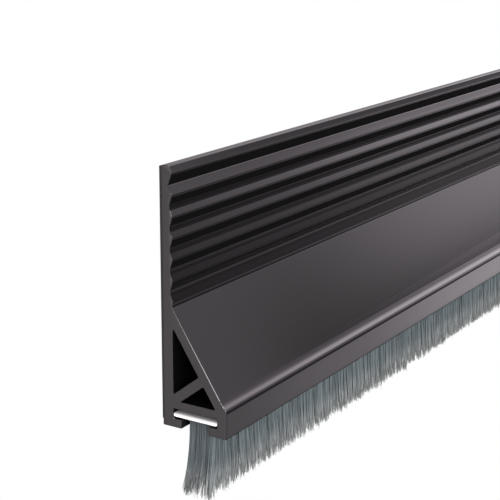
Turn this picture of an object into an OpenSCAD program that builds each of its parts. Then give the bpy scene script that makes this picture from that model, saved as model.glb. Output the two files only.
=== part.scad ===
// Door sweep: a self-adhesive rail with a ribbed flange and a hollow nose, and a brush strip in its T-slot.
// X runs along the sweep, +Y points into the door and +Z is up.
// The origin is on the tape's door side, at mid-length and halfway up the rail.

/* [Sweep] */
// Length of the sweep
sweep_length = 1000; // [300:10:1200]

/* [Rail] */
// Height of the rail
rail_height = 48; // [46:1:60]
// Depth of the rail from the tape to the nose
rail_depth = 13.45; // [13.2:0.05:16]
// Height of the upright nose face
nose_height = 5.3; // [4.8:0.1:6]
// Wall behind the chambers and the slot
back_wall = 2; // [1.6:0.1:2.2]
// Wall under the ramp
ramp_wall = 1.8; // [1.2:0.1:2]
// Thickness of the web between the two chambers
web_wall = 1.8; // [1.2:0.1:2]
// Slope of the web above the horizontal
web_angle = 38; // [34:1:42]
// Radius of the slight outward flare at the foot of the ramp
ramp_flare = 11; // [10:1:20]
// Angle through which the ramp flares
ramp_flare_angle = 9; // [4:0.5:10]
// Radius on the long front edge between the ramp and the nose face
arris_radius = 1.4; // [0.4:0.1:2]

/* [Ribs] */
// Number of ribs on the flange
rib_count = 7; // [4:1:7]
// Distance from one rib to the next
rib_pitch = 3.85; // [3.5:0.05:3.9]
// Flange thickness at a rib's crest
crest_depth = 2.2; // [2:0.05:2.6]
// Flange thickness at the bottom of a groove
groove_depth = 1.7; // [1.6:0.05:1.9]
// Flange thickness at the bottom of the sharp groove under the first rib
notch_depth = 1.45; // [1.3:0.05:1.6]
// Radius on the crests
crest_radius = 0.6; // [0.4:0.1:1]
// Radius where a groove turns out to the next rib
groove_radius = 1.6; // [0.4:0.1:1.8]

/* [Slot] */
// Width of the T-slot
slot_width = 9.4; // [9.3:0.1:9.6]
// Height of the T-slot
slot_height = 1.95; // [1.6:0.05:2.2]
// Thickness of the two lips under the slot
lip_wall = 1.65; // [1.2:0.05:2]
// Opening between the lips
lip_gap = 5.85; // [5.8:0.05:6.4]
// Thickness of the web above the slot
floor_wall = 1.5; // [1:0.1:2]

/* [Tape] */
// Thickness of the double-sided tape
tape_thickness = 0.4; // [0.4:0.1:1]
// Height of the rail's low lip that covers the tape's lower edge
tape_lip_height = 1.2; // [0.8:0.1:2]
// How far that lip stands out behind the rail
tape_lip_depth = 0.3; // [0.1:0.05:0.35]

/* [Brush] */
// Width of the backing strip
backing_width = 9.2; // [8.6:0.1:9.2]
// Thickness of the backing strip
backing_thickness = 0.75; // [0.7:0.05:1.1]
// Gap between the backing strip and the lips
backing_lift = 0.5; // [0.1:0.05:0.5]
// Thickness of the filament band between the lips
band_thickness = 5.2; // [4:0.1:5.2]
// Thickness of the filament band at its tips
tip_thickness = 6.6; // [5.4:0.1:8]
// Length of filament below the lips
free_length = 12.3; // [9:0.1:20]
// How far the filaments stop short of the backing strip's ends
band_inset = 2; // [0:0.5:5]

/* [Hidden] */
$fn = 48;
// Steps in the rounded corners of an outline, for small and for larger radii
small_steps = 3;
large_steps = 8;
// The small radii in the rail's outline: inside corners, outside edges, and wider turns
inner_edge = 0.15;
outer_edge = 0.2;
wide_edge = 0.3;

// Heights of the rail's levels
rail_bottom = -rail_height / 2;
rail_top = rail_height / 2;
lip_top = rail_bottom + lip_wall;
slot_top = lip_top + slot_height;
chamber_bottom = slot_top + floor_wall;
arris_height = rail_bottom + nose_height;

// The ribs: the first crest's distance below the top, and how a rib divides its pitch
first_crest = 1.45;
underside_share = 0.42;
notch_share = 0.55;
valley_share = 0.62;
last_crest = first_crest + (rib_count - 1) * rib_pitch;
ramp_drop = 1.2;
ramp_inset = 0.2;
ramp_start = [crest_depth - ramp_inset, rail_top - last_crest - ramp_drop];

// The flange's top edge, and the small sharp step at the bottom of the notch
top_depth = notch_depth + 0.1;
notch_step = [0.06, 0.05];
notch_edge = 0.04;

// The ramp runs straight to a corner, where it flares outwards and turns over the arris into the nose face.
// The half turn is the steepest that any ramp needs.
arris_half_turn = 26;
flare_run = ramp_flare * tan(ramp_flare_angle / 2) + arris_radius * tan(arris_half_turn);
arris = [rail_depth, arris_height];
flare_corner = let (
    chord = norm(arris - ramp_start),
    lean = asin(flare_run * sin(ramp_flare_angle) / chord),
    straight = chord * cos(lean) - flare_run * cos(ramp_flare_angle)
) ramp_start + turned(direction(ramp_start, arris), -lean) * straight;
ramp_way = direction(ramp_start, flare_corner);

// The tape fills the rail's back above the low lip
tape_gap = 0.1;
tape_drop = 0.2;
tape_bottom = rail_bottom + tape_lip_height + tape_gap;
tape_top = rail_top - tape_drop;

// Depths of the slot's walls, the lips' edges and the middle of the band
slot_front = back_wall + slot_width;
slot_middle = back_wall + slot_width / 2;
gap_back = slot_middle - lip_gap / 2;
gap_front = slot_middle + lip_gap / 2;
backing_edge = backing_thickness * 0.3;
band_edge = band_thickness * 0.48;
band_length = sweep_length - 2 * band_inset;
backing_bottom = lip_top + backing_lift;
band_gap = 0.3;
root_drop = 0.2;
root_bottom = rail_bottom - root_drop;
hinge_height = root_bottom - band_gap - band_thickness / 2;
tip_height = rail_bottom - free_length;

function direction(a, b) = (b - a) / norm(b - a);
function turned(v, angle) = [v.x * cos(angle) - v.y * sin(angle), v.x * sin(angle) + v.y * cos(angle)];
// Where the line through p along u crosses the line through q along w
function meet(p, u, q, w) = p + u * ((q - p).x * w.y - (q - p).y * w.x) / (u.x * w.y - u.y * w.x);

// One corner of an outline, rounded to radius r between its neighbours a and b
function corner(a, p, b, r) =
    let (
        u = direction(p, a),
        w = direction(p, b),
        half = acos(u * w) / 2,
        middle = p + (u + w) / norm(u + w) * r / sin(half),
        first = p + u * r / tan(half) - middle,
        sweep = (180 - 2 * half) * sign(u.x * w.y - u.y * w.x),
        steps = r > wide_edge ? large_steps : small_steps
    )
    [for (i = [0 : steps]) middle + turned(first, -sweep * i / steps)];

// A point with a corner radius added
function with_radius(p, r) = [p.x, p.y, r];

// An outline from corners given as [depth, height, radius]; a radius of 0 leaves the corner sharp
function rounded(pts) =
    let (n = len(pts))
    [
        for (i = [0 : n - 1])
            let (
                a = pts[(i + n - 1) % n],
                p = pts[i],
                b = pts[(i + 1) % n]
            )
            each p[2] == 0 ? [[p.x, p.y]] : corner([a.x, a.y], [p.x, p.y], [b.x, b.y], p[2])
    ];

// Outlines are drawn as [depth in front of the tape, height] and run along X
module run_along(length) {
    translate([-length / 2, -tape_thickness, 0])
        rotate([90, 0, 90])
            linear_extrude(length)
                mirror([1, 0])
                    children();
}

// The flange's front from the first rib down: each rib has a rounded crest and a long underside, and the groove
// below it turns out into the next rib's short upper face
rib_corners = [
    for (i = [0 : rib_count - 1])
        let (crest = rail_top - first_crest - i * rib_pitch)
        each [
            [crest_depth, crest, crest_radius],
            if (i == 0) [notch_depth - notch_step.x, crest - notch_share * rib_pitch + notch_step.y, 0],
            if (i == 0) [notch_depth, crest - notch_share * rib_pitch, notch_edge],
            if (i > 0 && i < rib_count - 1) [groove_depth, crest - underside_share * rib_pitch, wide_edge],
            if (i > 0 && i < rib_count - 1) [groove_depth, crest - valley_share * rib_pitch, groove_radius],
        ]
];

rail_outline = rounded(concat(
    [
        [-tape_lip_depth, rail_bottom, inner_edge],
        [-tape_lip_depth, rail_bottom + tape_lip_height, 0],
        [0, rail_bottom + tape_lip_height, 0],
        [0, rail_top, outer_edge],
        [top_depth, rail_top, wide_edge],
    ],
    rib_corners,
    [
        [ramp_start.x, ramp_start.y, 0],
        [flare_corner.x, flare_corner.y, ramp_flare],
        [arris.x, arris.y, arris_radius],
        [rail_depth, rail_bottom, wide_edge],
        [gap_front, rail_bottom, outer_edge],
        [gap_front, lip_top, inner_edge],
        [slot_front, lip_top, wide_edge],
        [slot_front, slot_top, inner_edge],
        [back_wall, slot_top, inner_edge],
        [back_wall, lip_top, wide_edge],
        [gap_back, lip_top, inner_edge],
        [gap_back, rail_bottom, outer_edge],
    ]
));

// The two chambers lie between the back wall, the ramp wall and the floor, with the web across them
web_edge = 0.1;
chamber_foot = [back_wall, chamber_bottom];
inner_ramp = ramp_start + turned(ramp_way, -90) * ramp_wall;
web_way = [cos(web_angle), sin(web_angle)];
web_above = chamber_foot + turned(web_way, 90) * web_wall / 2;
web_below = chamber_foot - turned(web_way, 90) * web_wall / 2;
upward = [0, 1];
forward = [1, 0];

upper_chamber = rounded([
    with_radius(meet(chamber_foot, upward, inner_ramp, ramp_way), outer_edge),
    with_radius(meet(web_above, web_way, inner_ramp, ramp_way), wide_edge),
    with_radius(meet(chamber_foot, upward, web_above, web_way), outer_edge),
]);
lower_chamber = rounded([
    with_radius(meet(web_below, web_way, inner_ramp, ramp_way), outer_edge),
    with_radius(meet(chamber_foot, forward, inner_ramp, ramp_way), outer_edge),
    with_radius(meet(chamber_foot, forward, web_below, web_way), web_edge),
]);

module carrier_profile() {
    color("#48474a")
        run_along(sweep_length)
            difference() {
                polygon(rail_outline);
                polygon(upper_chamber);
                polygon(lower_chamber);
            }
}

module adhesive_tape() {
    color("#17171a")
        translate([-sweep_length / 2, -tape_thickness, tape_bottom])
            cube([sweep_length, tape_thickness, tape_top - tape_bottom]);
}

module brush_backing() {
    color("#e8e8e6")
        run_along(sweep_length)
            translate([slot_middle, backing_bottom])
                polygon(rounded([
                    [-backing_width / 2, 0, backing_edge],
                    [-backing_width / 2, backing_thickness, backing_edge],
                    [backing_width / 2, backing_thickness, backing_edge],
                    [backing_width / 2, 0, backing_edge],
                ]));
}

module bristle_roots() {
    color("#4f5759")
        run_along(band_length)
            translate([slot_middle - band_thickness / 2, root_bottom])
                square([band_thickness, backing_bottom - root_bottom]);
}

// The free band has a round top, so that it clears the roots and the lips when it leans over
module bristles() {
    color("#6a7376")
        run_along(band_length)
            translate([slot_middle, 0])
                polygon(rounded([
                    [-band_thickness / 2, hinge_height + band_thickness / 2, band_edge],
                    [band_thickness / 2, hinge_height + band_thickness / 2, band_edge],
                    [tip_thickness / 2, tip_height, 0],
                    [-tip_thickness / 2, tip_height, 0],
                ]));
}

carrier_profile();
adhesive_tape();
brush_backing();
bristle_roots();
bristles();
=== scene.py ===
import math
import bmesh
import bpy
import numpy as np
from mathutils import Matrix, Vector


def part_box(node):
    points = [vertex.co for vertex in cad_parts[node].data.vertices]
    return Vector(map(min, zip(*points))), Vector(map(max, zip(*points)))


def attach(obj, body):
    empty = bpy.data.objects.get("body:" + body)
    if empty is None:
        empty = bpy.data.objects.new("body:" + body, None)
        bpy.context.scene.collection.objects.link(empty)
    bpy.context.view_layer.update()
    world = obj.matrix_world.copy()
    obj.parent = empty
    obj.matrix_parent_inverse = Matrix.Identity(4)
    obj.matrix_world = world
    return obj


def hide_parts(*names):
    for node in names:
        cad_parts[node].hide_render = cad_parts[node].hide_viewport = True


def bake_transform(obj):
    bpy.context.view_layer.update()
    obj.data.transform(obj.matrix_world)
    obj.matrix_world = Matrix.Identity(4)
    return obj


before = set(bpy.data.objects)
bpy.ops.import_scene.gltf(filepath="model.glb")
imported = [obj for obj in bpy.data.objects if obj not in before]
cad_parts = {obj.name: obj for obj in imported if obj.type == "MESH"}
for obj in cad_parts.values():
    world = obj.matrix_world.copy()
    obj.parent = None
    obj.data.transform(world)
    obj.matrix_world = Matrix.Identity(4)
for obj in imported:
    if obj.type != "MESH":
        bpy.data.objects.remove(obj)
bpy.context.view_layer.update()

print("frame loaded:", sorted(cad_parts))

scene = bpy.context.scene
scene.view_settings.view_transform = "Standard"
railLow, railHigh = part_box("carrier_profile")
bandLow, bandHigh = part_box("bristles")
backingLow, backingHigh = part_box("brush_backing")
nearEnd = railLow.x
mm = 0.001


# ---- shader helpers: a wire is a socket that can be added, multiplied and so on
class Wire:
    def __init__(self, shade, socket):
        self.shade = shade
        self.socket = socket

    def math(self, operation, first, second):
        return self.shade.node("ShaderNodeMath", {"operation": operation}, {0: first, 1: second})

    def __add__(self, other):
        return self.math("ADD", self, other)

    __radd__ = __add__

    def __sub__(self, other):
        return self.math("SUBTRACT", self, other)

    def __rsub__(self, other):
        return self.math("SUBTRACT", other, self)

    def __mul__(self, other):
        return self.math("MULTIPLY", self, other)

    __rmul__ = __mul__

    def __truediv__(self, other):
        return self.math("DIVIDE", self, other)


class Shade:
    def __init__(self, owner):
        owner.use_nodes = True
        self.tree = owner.node_tree
        self.tree.nodes.clear()

    def node(self, kind, settings=None, sockets=None, output=0):
        made = self.tree.nodes.new(kind)
        for name, value in (settings or {}).items():
            if name == "stops":
                self.setStops(made.color_ramp, value)
            else:
                setattr(made, name, value)
        for key, value in (sockets or {}).items():
            if isinstance(value, Wire):
                self.tree.links.new(value.socket, made.inputs[key])
            else:
                made.inputs[key].default_value = value
        return Wire(self, made.outputs[output]) if made.outputs else made

    def setStops(self, ramp, stops):
        ramp.elements.remove(ramp.elements[1])
        ramp.elements[0].position = stops[0][0]
        for place, colour in stops[1:]:
            ramp.elements.new(place)
        for element, (place, colour) in zip(ramp.elements, stops):
            element.color = (*colour, 1)

    def mixColour(self, factor, first, second):
        settings = {"data_type": "RGBA", "clamp_factor": True}
        return self.node("ShaderNodeMix", settings, {0: factor, 6: first, 7: second}, 2)

    def smooth(self, value, low, high):
        return self.node(
            "ShaderNodeMapRange", {"interpolation_type": "SMOOTHSTEP"}, {0: value, 1: low, 2: high}
        )

    def place(self, stretch=(1, 1, 1)):
        point = self.node("ShaderNodeTexCoord", None, None, 3)
        return self.node("ShaderNodeVectorMath", {"operation": "MULTIPLY"}, {0: point, 1: stretch})

    def tinted(self, colour, value):
        return self.node("ShaderNodeVectorMath", {"operation": "SCALE"}, {0: colour, "Scale": value})

    def part(self, vector, axis):
        return self.node("ShaderNodeSeparateXYZ", None, {0: vector}, axis)

    def noise(self, point, scale, detail=2, rough=0.5):
        return self.node(
            "ShaderNodeTexNoise", None,
            {"Vector": point, "Scale": scale, "Detail": detail, "Roughness": rough}
        )

    def bump(self, height, strength, distance):
        return self.node(
            "ShaderNodeBump", None, {"Height": height, "Strength": strength, "Distance": distance}
        )

    def attribute(self, name):
        return self.node("ShaderNodeAttribute", {"attribute_name": name}, None, 2)

    def principled(self, **sockets):
        named = {name.replace("_", " "): value for name, value in sockets.items()}
        surface = self.node("ShaderNodeBsdfPrincipled", None, named)
        self.node("ShaderNodeOutputMaterial", None, {"Surface": surface})


def newMaterial(name):
    material = bpy.data.materials.new(name)
    return material, Shade(material)


# ---- camera
cameraSet = {
    "toRailTop": (-0.1819, -0.1331, 0.0456),   # metres from the rail's top back corner at the near end
    "yaw": 57.80, "pitch": 15.13, "roll": 0.193,
    "lens": 95.83, "sensorWidth": 36, "clip": (0.01, 50),
}


def makeCamera(c):
    data = bpy.data.cameras.new("camera")
    data.lens = c["lens"]
    data.sensor_width = c["sensorWidth"]
    data.clip_start, data.clip_end = c["clip"]
    camera = bpy.data.objects.new("camera", data)
    camera.location = Vector((nearEnd, 0, railHigh.z)) + Vector(c["toRailTop"])
    turn = (
        Matrix.Rotation(math.radians(-c["yaw"]), 4, "Z")
        @ Matrix.Rotation(math.radians(90 - c["pitch"]), 4, "X")
        @ Matrix.Rotation(math.radians(c["roll"]), 4, "Z")
    )
    camera.rotation_euler = turn.to_euler()
    scene.collection.objects.link(camera)
    scene.camera = camera
    return camera


camera = makeCamera(cameraSet)
print("camera at", tuple(round(v, 4) for v in camera.location))


# ---- stage: a pale floor and backdrop, a soft room lit in bands, a soft key light and a wide fill
stageSet = {
    "floorDrop": 0.25, "floorSize": 30, "backdropRadius": 24, "backdropCuts": 3,
    "roomTint": (1, 0.93, 0.985),
    # the room's light by the angle about the rail, where 0 is level in front, 90 overhead and -90 below;
    # a row's first number is the direction's share along the rail at which that row is fully reached
    "rooms": (
        (0.775, (
            (-180, 0.3), (-90, 0.02), (-46, 0.02), (-41, 0.03), (-39.3, 0.78), (-36, 0.82), (-34.5, 0.5),
            (-31, 0.4), (-27.5, 0.4), (-26, 0.15), (-20, 0.04), (-13, 0.16), (3, 0.14), (8, 0.07),
            (11.5, 0.28), (14, 0.6), (16, 1.1), (18, 1.2), (26, 1.05), (31, 0.95), (36, 0.95), (40, 1.1),
            (41.5, 1.5), (45, 3.4), (80, 3.0), (110, 1.2), (180, 0.3),
        )),
        (0.83, (
            (-180, 0.3), (-90, 0.02), (-46, 0.02), (-41, 0.03), (-39.3, 1.05), (-36, 1.1), (-34.5, 0.6),
            (-31, 0.45), (-27.5, 0.45), (-26, 0.15), (-20, 0.04), (-13, 0.2), (3, 0.16), (8, 0.08),
            (11.5, 0.3), (14, 0.75), (16, 1.3), (18, 1.3), (26, 1.05), (28.5, 0.4), (30.5, 0.22),
            (32, 0.5), (34, 0.86), (36, 0.86), (40, 1.0), (41.5, 1.5), (45, 4.0), (80, 3.4), (110, 1.2),
            (180, 0.3),
        )),
        (0.90, (
            (-180, 0.3), (-90, 0.02), (-46, 0.02), (-41, 0.03), (-39.3, 1.95), (-36, 2.05), (-34.5, 1.0),
            (-31, 0.6), (-27.5, 0.55), (-26, 0.2), (-20, 0.04), (-13, 0.4), (3, 0.35), (8, 0.12),
            (11.5, 0.5), (14, 1.4), (16, 2.4), (18, 2.4), (25, 2.0), (27.5, 0.4), (30.2, 0.08),
            (31.2, 0.3), (32.5, 1.5), (34.5, 1.6), (37, 1.4), (40, 1.5), (42, 2.3), (45, 4.0), (80, 3.4),
            (110, 1.2), (180, 0.3),
        )),
    ),
    "keyDirection": (-0.60, -0.66, 0.34), "keyDistance": 1.2, "keySize": 0.5, "keyPower": 12,
    "fillFrom": (-0.3, -0.9, -0.4), "fillDistance": 0.9, "fillSize": 1.6, "fillPower": 22,
}


def paleFinish():
    material, shade = newMaterial("paleFloor")
    glow = shade.node("ShaderNodeEmission", None, {"Color": (1, 1, 1, 1), "Strength": 1})
    shade.node("ShaderNodeOutputMaterial", None, {"Surface": glow})
    return material


def addStage(name, bm, material):
    # seen only by the camera, so that it does not change the light on the sweep
    mesh = bpy.data.meshes.new(name)
    bm.to_mesh(mesh)
    bm.free()
    mesh.materials.append(material)
    piece = bpy.data.objects.new(name, mesh)
    scene.collection.objects.link(piece)
    piece.visible_glossy = False
    piece.visible_diffuse = False
    piece.visible_shadow = False


def makeFloor(s):
    material = paleFinish()
    ground = bmesh.new()
    bmesh.ops.create_grid(ground, x_segments=1, y_segments=1, size=s["floorSize"])
    bmesh.ops.translate(ground, verts=ground.verts, vec=(0, 0, bandLow.z - s["floorDrop"]))
    addStage("floor", ground, material)
    sky = bmesh.new()
    bmesh.ops.create_icosphere(sky, subdivisions=s["backdropCuts"], radius=s["backdropRadius"])
    addStage("backdrop", sky, material)


def makeRoom(s):
    world = bpy.data.worlds.new("room")
    scene.world = world
    shade = Shade(world)
    direction = shade.node("ShaderNodeTexCoord", None, None, 0)
    front = 0 - shade.part(direction, 1)
    up = shade.part(direction, 2)
    turn = shade.node("ShaderNodeMath", {"operation": "ARCTAN2"}, {0: up, 1: front}) / (2 * math.pi)
    along = shade.part(direction, 0)
    most = max(strength for reach, band in s["rooms"] for angle, strength in band)
    light = None
    before = 0
    for reach, band in s["rooms"]:
        stops = [
            (angle / 360 + 0.5, [tint * strength / most for tint in s["roomTint"]])
            for angle, strength in band
        ]
        glow = shade.node("ShaderNodeValToRGB", {"stops": stops}, {0: turn + 0.5})
        light = shade.mixColour(shade.smooth(along, before, reach), light, glow) if light else glow
        before = reach
    background = shade.node("ShaderNodeBackground", None, {"Color": light, "Strength": most})
    shade.node("ShaderNodeOutputWorld", None, {"Surface": background})


def addLight(name, way, distance, size, power):
    data = bpy.data.lights.new(name, "AREA")
    data.size = size
    data.energy = power
    lamp = bpy.data.objects.new(name, data)
    way = Vector(way).normalized()
    lamp.location = Vector((nearEnd, 0, 0)) + way * distance
    lamp.rotation_euler = way.to_track_quat("Z", "Y").to_euler()
    scene.collection.objects.link(lamp)
    return lamp


def makeKey(s):
    addLight("key", s["keyDirection"], s["keyDistance"], s["keySize"], s["keyPower"])


def makeFill(s):
    # broad light from the front and a little below, which the polished rail does not mirror
    fill = addLight("fill", s["fillFrom"], s["fillDistance"], s["fillSize"], s["fillPower"])
    fill.visible_glossy = False
    fill.visible_camera = False


makeFloor(stageSet)
makeFill(stageSet)
makeRoom(stageSet)
makeKey(stageSet)
print("stage set")


# ---- rail: the extrusion, satin along its length, duller and paler where it is sawn, with eased end edges
railSet = {
    "weld": 0.001 * mm, "endChamfer": 0.09 * mm, "sharpAngle": 28,
    "cutFrom": 0.03 * mm, "cutFull": 0.01 * mm,
    "colour": (0.0024, 0.0023, 0.0024), "cutColour": (0.031, 0.0293, 0.0303),
    "roughness": (0.085, 0.11), "cutRoughness": 0.55, "glossTint": (1, 0.95, 0.985, 1),
    "dieLines": (8, 2600, 2600), "sawLines": (200, 900, 5200), "dieDepth": 0.006 * mm,
    "reliefStrength": 0.35, "broadScale": 30, "speckScale": 4200,
}


def railFinish(r):
    material, shade = newMaterial("railFinish")
    point = shade.place()
    ends = shade.node("ShaderNodeMath", {"operation": "ABSOLUTE"}, {0: shade.part(point, 0)})
    cut = shade.smooth(ends, railHigh.x - r["cutFrom"], railHigh.x - r["cutFull"])
    lines = shade.noise(shade.place(r["dieLines"]), 1, 3, 0.6)
    broad = shade.noise(shade.place((1, 4, 4)), r["broadScale"], 3)
    speck = shade.noise(point, r["speckScale"], 2)
    sawn = shade.noise(shade.place(r["sawLines"]), 1, 3, 0.65)
    drawn = shade.tinted(r["colour"], 0.86 + broad * 0.2 + speck * 0.08)
    bare = shade.tinted(r["cutColour"], 0.82 + sawn * 0.36)
    low, high = r["roughness"]
    satin = low + (high - low) * (lines * 0.6 + broad * 0.4)
    rough = satin + cut * (r["cutRoughness"] - satin)
    height = lines * (1 - cut) + sawn * cut
    shade.principled(
        Base_Color=shade.mixColour(cut, drawn, bare), Roughness=rough,
        Specular_Tint=r["glossTint"],
        Normal=shade.bump(height, r["reliefStrength"], r["dieDepth"]),
    )
    return material


def outerRim(bm, ends, seed):
    # the boundary loop of the end faces that passes through the seed vertex
    faces = set(ends)
    rim = [e for e in bm.edges if sum(f in faces for f in e.link_faces) == 1]
    reached = {seed}
    grew = True
    while grew:
        grew = False
        for e in rim:
            a, b = e.verts
            if (a in reached) != (b in reached):
                reached |= {a, b}
                grew = True
    return reached


def easeEnd(bm, side, size):
    # a small 45-degree edge round the rail's outline at one end
    everything = list(bm.verts) + list(bm.edges) + list(bm.faces)
    bmesh.ops.bisect_plane(
        bm, geom=everything, plane_co=(side * (railHigh.x - size), 0, 0), plane_no=(1, 0, 0)
    )
    bm.normal_update()
    ends = [f for f in bm.faces if f.normal.x * side > 0.99]
    corners = {v for f in ends for v in f.verts}
    for v in outerRim(bm, ends, min(corners, key=lambda v: v.co.y)):
        outward = sum((f.normal for f in v.link_faces if abs(f.normal.x) < 0.5), Vector())
        v.co -= Vector((0, outward.y, outward.z)).normalized() * size


def makeRail(r):
    bm = bmesh.new()
    bm.from_mesh(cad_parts["carrier_profile"].data)
    bmesh.ops.remove_doubles(bm, verts=bm.verts, dist=r["weld"])
    for side in (-1, 1):
        easeEnd(bm, side, r["endChamfer"])
    mesh = bpy.data.meshes.new("rail")
    bm.to_mesh(mesh)
    bm.free()
    mesh.shade_smooth()
    mesh.set_sharp_from_angle(angle=math.radians(r["sharpAngle"]))
    rail = bpy.data.objects.new("rail", mesh)
    scene.collection.objects.link(rail)
    weighted = rail.modifiers.new("flatFaces", "WEIGHTED_NORMAL")
    weighted.keep_sharp = True
    mesh.materials.append(railFinish(r))
    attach(rail, "carrier")
    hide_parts("carrier_profile")


makeRail(railSet)
print("rail made")


# ---- tape: matt black foam with fine pores
tapeSet = {
    "colour": (0.012, 0.012, 0.013), "pores": 2600, "poreDepth": 0.04 * mm, "poreStrength": 0.6,
    "cloudScale": 180,
}


def tapeFinish(t):
    material, shade = newMaterial("tapeFinish")
    point = shade.place()
    pores = shade.node("ShaderNodeTexVoronoi", None, {"Vector": point, "Scale": t["pores"]})
    cloud = shade.noise(point, t["cloudScale"], 3)
    shade.principled(
        Base_Color=shade.tinted(t["colour"], 0.6 + pores * 0.4 + cloud * 0.5),
        Roughness=0.85 + cloud * 0.12, Normal=shade.bump(pores, t["poreStrength"], t["poreDepth"])
    )
    return material


def dress(node, material):
    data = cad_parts[node].data
    data.materials.clear()
    data.materials.append(material)


dress("adhesive_tape", tapeFinish(tapeSet))
print("tape dressed")


# ---- backing strip: natural white plastic, drawn lengthwise
backingSet = {
    "colour": (0.82, 0.82, 0.80), "shade": (0.68, 0.69, 0.68), "lines": (12, 1500, 1500),
    "lineDepth": 0.01 * mm, "lineStrength": 0.3, "cloudScale": 140,
    "paintedTopShade": 0.38, "paintedShadeStart": 0.25 * mm,   # the strip is painted darker towards its top, a painted shade
}


def backingFinish(b):
    material, shade = newMaterial("backingFinish")
    lines = shade.noise(shade.place(b["lines"]), 1, 3, 0.6)
    cloud = shade.noise(shade.place(), b["cloudScale"], 3)
    colour = shade.mixColour(lines * 0.5 + cloud * 0.3, (*b["colour"], 1), (*b["shade"], 1))
    # painted shade: the colour darkens from a little above the strip's underside up to its top
    top = shade.smooth(shade.part(shade.place(), 2), backingLow.z + b["paintedShadeStart"], backingHigh.z)
    shade.principled(
        Base_Color=shade.tinted(colour, 1 - top * (1 - b["paintedTopShade"])),
        Roughness=0.28 + lines * 0.14, Normal=shade.bump(lines, b["lineStrength"], b["lineDepth"])
    )
    return material


dress("brush_backing", backingFinish(backingSet))
print("backing dressed")


# ---- bristles: thin tapered filaments in loose clumps, splayed a little at the tips and at both ends
bristleSet = {
    "meshes": 10, "perMesh": 7500, "seed": 11,
    "radius": 0.082 * mm, "tipRadius": 0.03 * mm,
    "levels": (0, 0.26, 0.5, 0.75, 1),
    "bandDepth": 5.1 * mm, "tipDepth": 6.4 * mm, "skinShare": 0.6, "skin": 0.7 * mm,
    "clumpPitch": 0.62 * mm, "clumpPull": 0.22, "clumpRagged": 0.25 * mm, "ragged": 1.3 * mm,
    "clumpLeanX": 0.16 * mm, "clumpLeanY": 0.18 * mm,
    "pointed": 0.55 * mm, "wander": 0.13 * mm, "stray": 0.012, "strayLean": 1.0 * mm,
    "bendPower": 1.7, "endFlare": 2.4 * mm, "flareSpread": (0.45, 1.15), "flareReach": 3.5 * mm,
    "endLonger": 0.45 * mm, "tipRise": 0.15 * mm, "lowestTip": 0.4 * mm,
    "endShare": 0.032, "endSkin": 0.6 * mm,
    "rootColour": (0.084, 0.104, 0.110), "litTipColour": (0.215, 0.225, 0.223),
    "darkTone": 0.88, "paleTone": 1.12, "litTipsFrom": 0.45,
    "streaks": (900, 900, 60), "streakTone": 0.24, "gloss": 0.35,
    "coreInset": 0.9 * mm, "coreRise": 4.2 * mm, "coreShort": 2.4 * mm, "coreCuts": 9,
}
brushMiddle = (backingLow.y + backingHigh.y) / 2
rootHeight = backingLow.z
lipFoot = railLow.z


def filamentFinish(b):
    material, shade = newMaterial("filamentFinish")
    along = shade.attribute("along")
    tone = shade.attribute("tone")
    streak = shade.noise(shade.place(b["streaks"]), 1, 2)
    # painted light: the filaments are painted lighter towards their tips, in place of light coming through
    # the thin, sparse tips
    litTips = shade.smooth(along, b["litTipsFrom"], 1)
    colour = shade.mixColour(litTips, (*b["rootColour"], 1), (*b["litTipColour"], 1))
    value = b["darkTone"] + tone * (b["paleTone"] - b["darkTone"]) + (streak - 0.5) * b["streakTone"]
    shade.principled(
        Base_Color=shade.tinted(colour, value), Roughness=0.45 + streak * 0.16,
        Specular_IOR_Level=b["gloss"]
    )
    return material


def filamentTemplate(b):
    # a three-sided tube: unit radius, with its height counting the levels
    bm = bmesh.new()
    bmesh.ops.create_circle(bm, segments=3, radius=1)
    edges = list(bm.edges)
    for level in range(1, len(b["levels"])):
        made = bmesh.ops.extrude_edge_only(bm, edges=edges)["geom"]
        ring = [g for g in made if isinstance(g, bmesh.types.BMVert)]
        edges = [g for g in made if isinstance(g, bmesh.types.BMEdge) and all(v in ring for v in g.verts)]
        bmesh.ops.translate(bm, verts=ring, vec=(0, 0, 1))
    bmesh.ops.contextual_create(bm, geom=edges)
    bmesh.ops.recalc_face_normals(bm, faces=bm.faces)
    bmesh.ops.triangulate(bm, faces=bm.faces)
    bm.verts.index_update()
    points = np.array([v.co for v in bm.verts])
    triangles = np.array([[v.index for v in f.verts] for f in bm.faces])
    # the tube hangs down, so the winding is turned over
    if sum(f.normal.xy.dot(f.calc_center_median().xy) for f in bm.faces) > 0:
        triangles = triangles[:, ::-1]
    bm.free()
    return points, triangles


def clumpFields(b, dice):
    # every clump has a place, a lean, a length and a tone
    length = bandHigh.x - bandLow.x
    columns = int(length / b["clumpPitch"])
    rows = int(b["bandDepth"] / b["clumpPitch"]) + 1
    shape = (columns, rows)
    return {
        "columns": columns, "rows": rows,
        "x": (np.arange(columns)[:, None] + dice.uniform(0.2, 0.8, shape)) / columns * length + bandLow.x,
        "y": (np.arange(rows)[None, :] + dice.uniform(0.25, 0.75, shape)) / rows * b["bandDepth"],
        "longer": dice.normal(0, b["clumpRagged"], shape),
        "leanX": dice.normal(0, b["clumpLeanX"], shape),
        "leanY": dice.normal(0, b["clumpLeanY"], shape),
        "tone": dice.uniform(0, 1, shape),
    }


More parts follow.
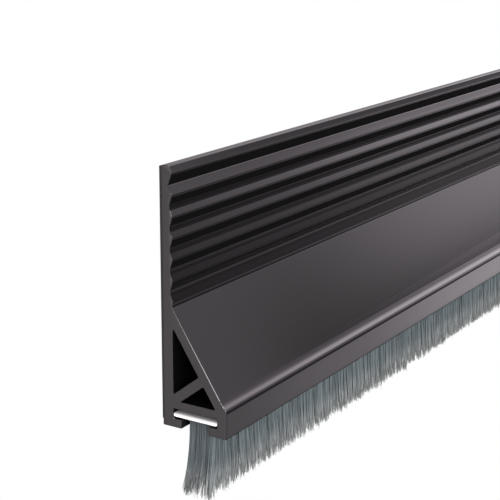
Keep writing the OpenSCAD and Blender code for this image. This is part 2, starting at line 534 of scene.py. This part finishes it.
def makeFilaments(b, index, template, clumps, dice, material):
    points, triangles = template
    count = b["perMesh"]
    length = bandHigh.x - bandLow.x
    span = length / b["meshes"]
    x = bandLow.x + span * (index + (np.arange(count) + dice.uniform(0, 1, count)) / count)
    depth = dice.uniform(0, b["bandDepth"], count)
    outside = dice.uniform(0, 1, count) < b["skinShare"]
    skin = dice.uniform(0, b["skin"], count)
    depth = np.where(outside, np.where(dice.uniform(0, 1, count) < 0.5, skin, b["bandDepth"] - skin), depth)
    y = brushMiddle - b["bandDepth"] / 2 + depth
    if index in (0, b["meshes"] - 1):
        # a close row over the cut end of the band
        atEnd = dice.uniform(0, 1, count) < b["endShare"]
        inset = dice.uniform(0, b["endSkin"], count)
        x = np.where(atEnd, bandLow.x + inset if index == 0 else bandHigh.x - inset, x)

    column = np.clip(((x - bandLow.x) / length * clumps["columns"]).astype(int), 0, clumps["columns"] - 1)
    row = np.clip((depth / b["bandDepth"] * clumps["rows"]).astype(int), 0, clumps["rows"] - 1)
    toX = clumps["x"][column, row] - x
    toY = clumps["y"][column, row] - depth
    away = np.hypot(toX, toY) / b["clumpPitch"]
    shorter = dice.uniform(0, 1, count) ** 2 * b["ragged"] + away * b["pointed"]
    fromEnd = np.minimum(x - bandLow.x, bandHigh.x - x)
    nearEnds = np.exp(-fromEnd / b["flareReach"])
    tip = bandLow.z + b["tipRise"] + shorter - clumps["longer"][column, row]
    tip = np.maximum(tip, bandLow.z - b["lowestTip"]) - nearEnds * (b["endLonger"] + b["tipRise"])
    flare = nearEnds * b["endFlare"] * dice.uniform(*b["flareSpread"], count)
    flare *= np.where(x < 0, -1, 1)
    stray = dice.uniform(0, 1, count) < b["stray"]
    wander = np.where(stray, b["strayLean"], b["wander"])
    leanX = toX * b["clumpPull"] + clumps["leanX"][column, row] + flare + dice.normal(0, 1, count) * wander
    spread = (y - brushMiddle) * (b["tipDepth"] / b["bandDepth"] - 1)
    leanY = toY * b["clumpPull"] + clumps["leanY"][column, row] + spread + dice.normal(0, 1, count) * wander

    level = np.rint(points[:, 2]).astype(int)
    along = np.array(b["levels"])[level]
    height = rootHeight + (tip[:, None] - rootHeight) * along
    free = np.clip((lipFoot - height) / (lipFoot - tip[:, None]), 0, 1)
    bend = free ** b["bendPower"]
    turn = dice.uniform(0, 2 * math.pi, count)[:, None]
    radius = b["radius"] + (b["tipRadius"] - b["radius"]) * free ** 2
    aroundX = points[:, 0] * np.cos(turn) - points[:, 1] * np.sin(turn)
    aroundY = points[:, 0] * np.sin(turn) + points[:, 1] * np.cos(turn)
    where = np.stack([
        x[:, None] + leanX[:, None] * bend + aroundX * radius,
        y[:, None] + leanY[:, None] * bend + aroundY * radius,
        height,
    ], axis=-1).reshape(-1, 3)
    faces = (triangles[None] + (np.arange(count) * len(points))[:, None, None]).reshape(-1, 3)

    mesh = bpy.data.meshes.new(f"filaments{index + 1}")
    mesh.from_pydata(where, [], faces)
    mesh.shade_smooth()
    tone = np.clip(clumps["tone"][column, row] * 0.5 + dice.uniform(0, 1, count) * 0.5, 0, 1)
    for name, values in (("along", free), ("tone", np.repeat(tone[:, None], len(points), axis=1))):
        layer = mesh.attributes.new(name, "FLOAT", "POINT")
        layer.data.foreach_set("value", values.reshape(-1).astype(np.float32))
    mesh.materials.append(material)
    filaments = bpy.data.objects.new(f"filaments{index + 1}", mesh)
    scene.collection.objects.link(filaments)
    hang(filaments)


def hang(piece):
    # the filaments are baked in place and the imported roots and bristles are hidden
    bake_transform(piece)
    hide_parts("bristle_roots", "bristles")


def makeCore(b, material):
    # a solid middle for the brush, so that no light comes through
    bm = bmesh.new()
    bmesh.ops.create_cube(bm, size=1)
    lowest = bandLow.z + b["coreRise"]
    length = bandHigh.x - bandLow.x - b["coreShort"]
    size = (length, b["bandDepth"] - 2 * b["coreInset"], rootHeight - lowest)
    bmesh.ops.scale(bm, verts=bm.verts, vec=size)
    bmesh.ops.translate(bm, verts=bm.verts, vec=(0, brushMiddle, (rootHeight + lowest) / 2))
    upright = [e for e in bm.edges if abs(e.verts[0].co.z - e.verts[1].co.z) > mm]
    bmesh.ops.subdivide_edges(bm, edges=upright, cuts=b["coreCuts"], use_grid_fill=True)
    mesh = bpy.data.meshes.new("filamentCore")
    bm.to_mesh(mesh)
    bm.free()
    for name in ("along", "tone"):
        layer = mesh.attributes.new(name, "FLOAT", "POINT")
        layer.data.foreach_set("value", np.zeros(len(mesh.vertices), np.float32))
    mesh.materials.append(material)
    core = bpy.data.objects.new("filamentCore", mesh)
    scene.collection.objects.link(core)
    hang(core)


def makeBrush(b):
    dice = np.random.default_rng(b["seed"])
    material = filamentFinish(b)
    template = filamentTemplate(b)
    clumps = clumpFields(b, dice)
    for index in range(b["meshes"]):
        makeFilaments(b, index, template, clumps, dice, material)
    makeCore(b, material)
    print("filaments made:", b["meshes"] * b["perMesh"], "of", len(template[1]), "faces")


makeBrush(bristleSet)
